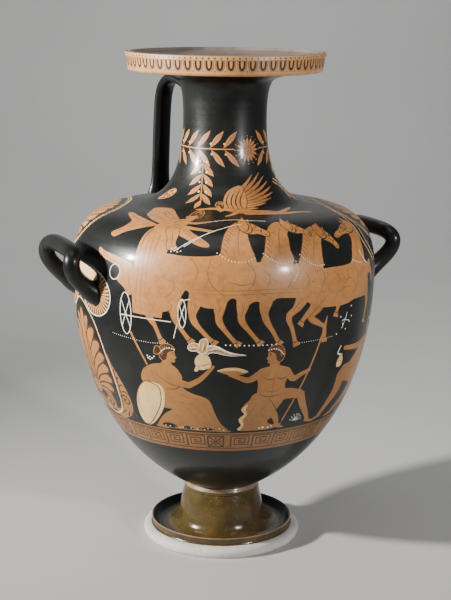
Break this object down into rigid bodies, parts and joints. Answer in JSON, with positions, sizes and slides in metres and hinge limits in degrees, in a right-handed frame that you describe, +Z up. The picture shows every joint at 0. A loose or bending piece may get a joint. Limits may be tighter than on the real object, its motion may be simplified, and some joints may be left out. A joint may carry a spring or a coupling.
{
  "type": "hydria",
  "caption": "Red-figure clay water jar: egg-shaped body on a flared foot, slim neck under a flat wide lip, two upturned side handles and a tall back strap handle.",
  "frame": {"origin": "on the vessel's axis, on the underside of its foot", "axes": "+Z up the vessel's axis, -Y towards the front of the painted scene, +X and -X towards the side handles; the strap handle is behind, 12 degrees from +Y towards -X"},
  "size_m": [0.3612, 0.303, 0.4955],
  "materials": {
    "painted_clay": "glossy black slip over orange clay, with reserved orange figures, cream and brown added colour"
  },
  "bodies": {
    "root": {"hydria": "painted_clay"}
  },
  "joints": []
}
